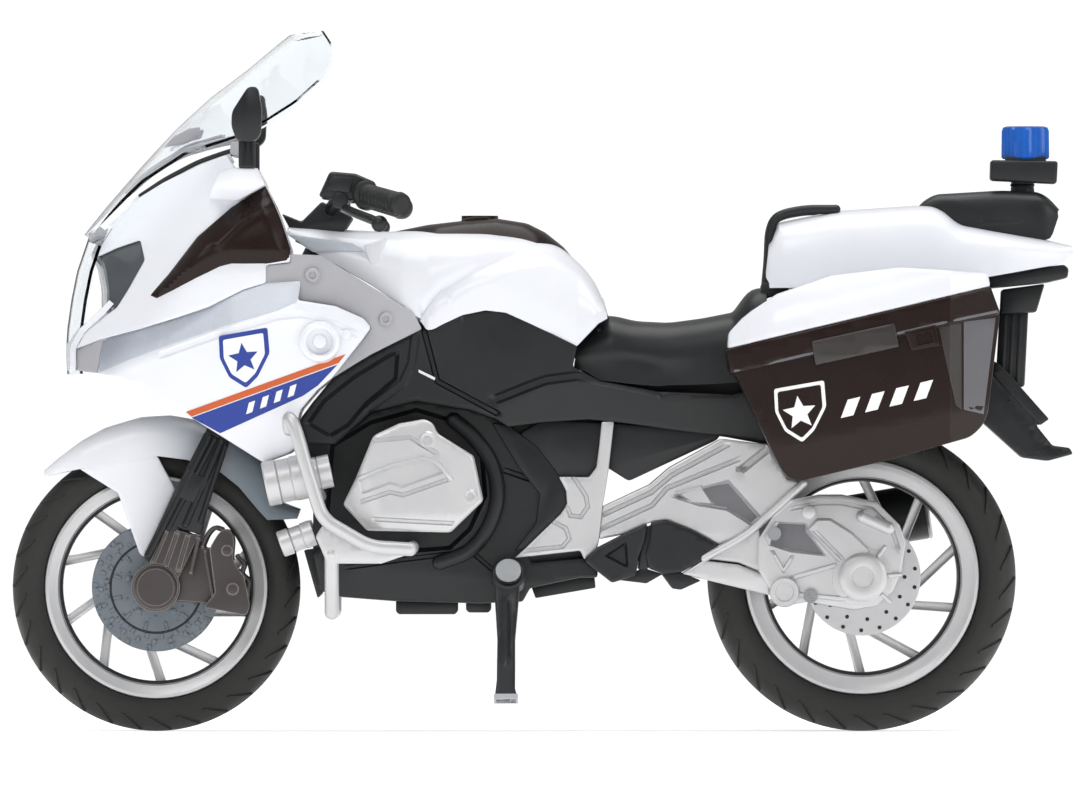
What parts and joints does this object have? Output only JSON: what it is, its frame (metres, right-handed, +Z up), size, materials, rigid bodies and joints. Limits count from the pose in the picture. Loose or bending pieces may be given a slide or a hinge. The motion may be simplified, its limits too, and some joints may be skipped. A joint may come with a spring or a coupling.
{
  "type": "toy touring motorcycle",
  "caption": "Toy touring motorcycle with steering fork, rolling wheels, pull-back spring motor, folding side stand, panniers, windshield and beacon.",
  "frame": {"origin": "on the ground at the middle of the length and width, with both tyres on z = 0", "axes": "-X is the way it faces, -Y its left side, +Z up"},
  "size_m": [0.1849, 0.08, 0.1223],
  "materials": {
    "black_plastic": "satin moulded",
    "white_plastic": "gloss",
    "grey_plastic": "satin moulded",
    "brown_plastic": "semi gloss",
    "clear_plastic": "clear moulded",
    "smoked_plastic": "gloss",
    "silver_paint": "satin silver",
    "steel": "turned",
    "disc_metal": "drilled",
    "blue_clear": "clear tinted",
    "tyre_rubber": "moulded",
    "soft_black": "moulded",
    "brass": "cut",
    "spring_steel": "blued"
  },
  "bodies": {
    "chassis": {"engine_block": "black_plastic", "main_frame": "black_plastic", "belly_plates": "black_plastic", "side_panel_left": "black_plastic", "side_panel_right": "black_plastic", "nose_fairing": "white_plastic", "side_fairing_left": "white_plastic", "side_fairing_right": "white_plastic", "inner_panels": "grey_plastic", "winglets": "brown_plastic", "headlight_cover": "clear_plastic", "headlight_lens": "smoked_plastic", "windshield": "clear_plastic", "mirrors": "black_plastic", "tank_cover": "white_plastic", "tank_pad": "brown_plastic", "filler_cap": "brown_plastic", "seat": "black_plastic", "cylinder_covers": "silver_paint", "crash_bars": "silver_paint", "fog_lamps": "silver_paint", "footrest_plates": "silver_paint", "heel_guards": "black_plastic", "subframe": "silver_paint", "swing_arm": "silver_paint", "drive_housing": "silver_paint", "drive_cover": "silver_paint", "cover_screws": "steel", "muffler": "black_plastic", "exhaust_pipe": "steel", "pannier_left": "brown_plastic", "pannier_right": "brown_plastic", "pannier_lid_left": "white_plastic", "pannier_lid_right": "white_plastic", "tail_box": "white_plastic", "grab_rail": "black_plastic", "radio_box": "black_plastic", "beacon_stand": "black_plastic", "beacon_lens": "blue_clear", "rear_rack": "black_plastic", "rear_mudguard": "black_plastic", "stand_bolt": "steel"},
    "fork": {"steering_stem": "steel", "fork_yokes": "black_plastic", "fork_legs": "black_plastic", "front_axle": "brown_plastic", "calipers": "brown_plastic", "front_fender": "white_plastic", "handlebar": "black_plastic", "grips": "soft_black"},
    "front_wheel": {"front_rim": "silver_paint", "front_tyre": "tyre_rubber", "front_discs": "disc_metal"},
    "rear_wheel": {"rear_rim": "silver_paint", "rear_tyre": "tyre_rubber", "rear_disc": "disc_metal", "rear_axle": "steel"},
    "barrel": {"spring_barrel": "brass", "mainspring": "spring_steel"},
    "stand": {"side_stand": "black_plastic"}
  },
  "joints": [
    {"name": "steering", "type": "hinge", "parent": "chassis", "child": "fork", "pos_m": [-0.044, 0, 0.07], "axis": [0.4384, 0, 0.8988], "range_deg": [-15, 15]},
    {"name": "front_wheel_spin", "type": "hinge", "parent": "fork", "child": "front_wheel", "pos_m": [-0.0674, 0, 0.0251], "axis": [0, 1, 0], "continuous": true},
    {"name": "rear_wheel_spin", "type": "hinge", "parent": "chassis", "child": "rear_wheel", "pos_m": [0.0556, 0, 0.0269], "axis": [0, 1, 0], "continuous": true},
    {"name": "barrel_spin", "type": "hinge", "parent": "chassis", "child": "barrel", "pos_m": [0.04685, 0, 0.03175], "axis": [0, 1, 0], "continuous": true},
    {"name": "side_stand_fold", "type": "hinge", "parent": "chassis", "child": "stand", "pos_m": [-0.006, -0.0166, 0.027], "axis": [0, -0.9063, 0.4226], "range_deg": [0, 75]}
  ],
  "couplings": [
    {"joint": "barrel_spin", "follows": "rear_wheel_spin", "ratio": -0.53846}
  ]
}
